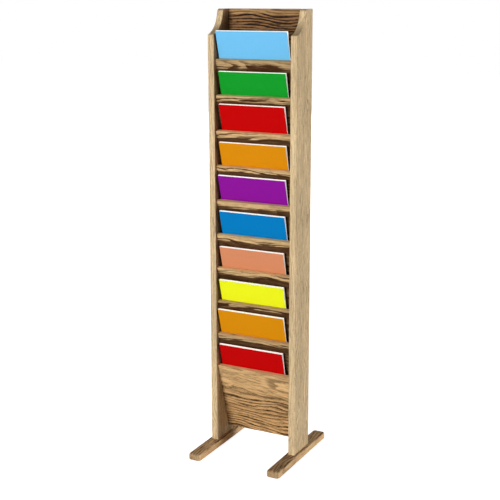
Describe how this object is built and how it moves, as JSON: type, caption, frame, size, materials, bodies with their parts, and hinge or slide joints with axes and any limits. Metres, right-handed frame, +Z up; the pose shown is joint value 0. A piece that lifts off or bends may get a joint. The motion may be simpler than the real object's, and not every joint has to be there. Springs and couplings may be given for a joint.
{
  "type": "cascade magazine rack",
  "caption": "Free-standing oak rack with leaning, overlapping pocket boards between coved side panels on flat feet, each pocket holding a lift-out magazine.",
  "frame": {"origin": "on the floor, in the middle of the feet's footprint", "axes": "+Z up along the side panels, +X to the rack's right as seen from the front, +Y to the back"},
  "size_m": [0.2858, 0.3174, 1.251],
  "materials": {
    "oak": "medium oak stain under satin lacquer, open ring-porous grain",
    "screw_steel": "zinc-plated steel",
    "cover_light_blue": "blank coated cover stock, semi-gloss",
    "cover_green": "blank coated cover stock, semi-gloss",
    "cover_red": "blank coated cover stock, semi-gloss",
    "cover_orange": "blank coated cover stock, semi-gloss",
    "cover_purple": "blank coated cover stock, semi-gloss",
    "cover_blue": "blank coated cover stock, semi-gloss",
    "cover_salmon": "blank coated cover stock, semi-gloss",
    "cover_yellow": "blank coated cover stock, semi-gloss",
    "page_paper": "trimmed page edges, matte"
  },
  "bodies": {
    "rack": {"side_panel_left": "oak", "side_panel_right": "oak", "foot_left": "oak", "foot_right": "oak", "header_board": "oak", "foot_screw_left_front": "screw_steel", "foot_screw_left_rear": "screw_steel", "foot_screw_right_front": "screw_steel", "foot_screw_right_rear": "screw_steel", "pocket_board_01": "oak", "pocket_board_02": "oak", "pocket_board_03": "oak", "pocket_board_04": "oak", "pocket_board_05": "oak", "pocket_board_06": "oak", "pocket_board_07": "oak", "pocket_board_08": "oak", "pocket_board_09": "oak", "pocket_board_10": "oak", "pocket_ledge_01": "oak", "pocket_ledge_02": "oak", "pocket_ledge_03": "oak", "pocket_ledge_04": "oak", "pocket_ledge_05": "oak", "pocket_ledge_06": "oak", "pocket_ledge_07": "oak", "pocket_ledge_08": "oak", "pocket_ledge_09": "oak", "pocket_ledge_10": "oak"},
    "magazine_01": {"magazine_01": "cover_light_blue"},
    "magazine_02": {"magazine_02": "cover_green"},
    "magazine_03": {"magazine_03": "cover_red"},
    "magazine_04": {"magazine_04": "cover_orange"},
    "magazine_05": {"magazine_05": "cover_purple"},
    "magazine_06": {"magazine_06": "cover_blue"},
    "magazine_07": {"magazine_07": "cover_salmon"},
    "magazine_08": {"magazine_08": "cover_yellow"},
    "magazine_09": {"magazine_09": "cover_orange"},
    "magazine_10": {"magazine_10": "cover_red"}
  },
  "joints": [
    {"name": "magazine_01_lift", "type": "slide", "parent": "rack", "child": "magazine_01", "axis": [0, -0.2924, 0.9563], "range_m": [0, 0.3]},
    {"name": "magazine_02_lift", "type": "slide", "parent": "rack", "child": "magazine_02", "axis": [0, -0.2924, 0.9563], "range_m": [0, 0.3]},
    {"name": "magazine_03_lift", "type": "slide", "parent": "rack", "child": "magazine_03", "axis": [0, -0.2924, 0.9563], "range_m": [0, 0.3]},
    {"name": "magazine_04_lift", "type": "slide", "parent": "rack", "child": "magazine_04", "axis": [0, -0.2924, 0.9563], "range_m": [0, 0.3]},
    {"name": "magazine_05_lift", "type": "slide", "parent": "rack", "child": "magazine_05", "axis": [0, -0.2924, 0.9563], "range_m": [0, 0.3]},
    {"name": "magazine_06_lift", "type": "slide", "parent": "rack", "child": "magazine_06", "axis": [0, -0.2924, 0.9563], "range_m": [0, 0.3]},
    {"name": "magazine_07_lift", "type": "slide", "parent": "rack", "child": "magazine_07", "axis": [0, -0.2924, 0.9563], "range_m": [0, 0.3]},
    {"name": "magazine_08_lift", "type": "slide", "parent": "rack", "child": "magazine_08", "axis": [0, -0.2924, 0.9563], "range_m": [0, 0.3]},
    {"name": "magazine_09_lift", "type": "slide", "parent": "rack", "child": "magazine_09", "axis": [0, -0.2924, 0.9563], "range_m": [0, 0.3]},
    {"name": "magazine_10_lift", "type": "slide", "parent": "rack", "child": "magazine_10", "axis": [0, -0.2924, 0.9563], "range_m": [0, 0.3]}
  ]
}
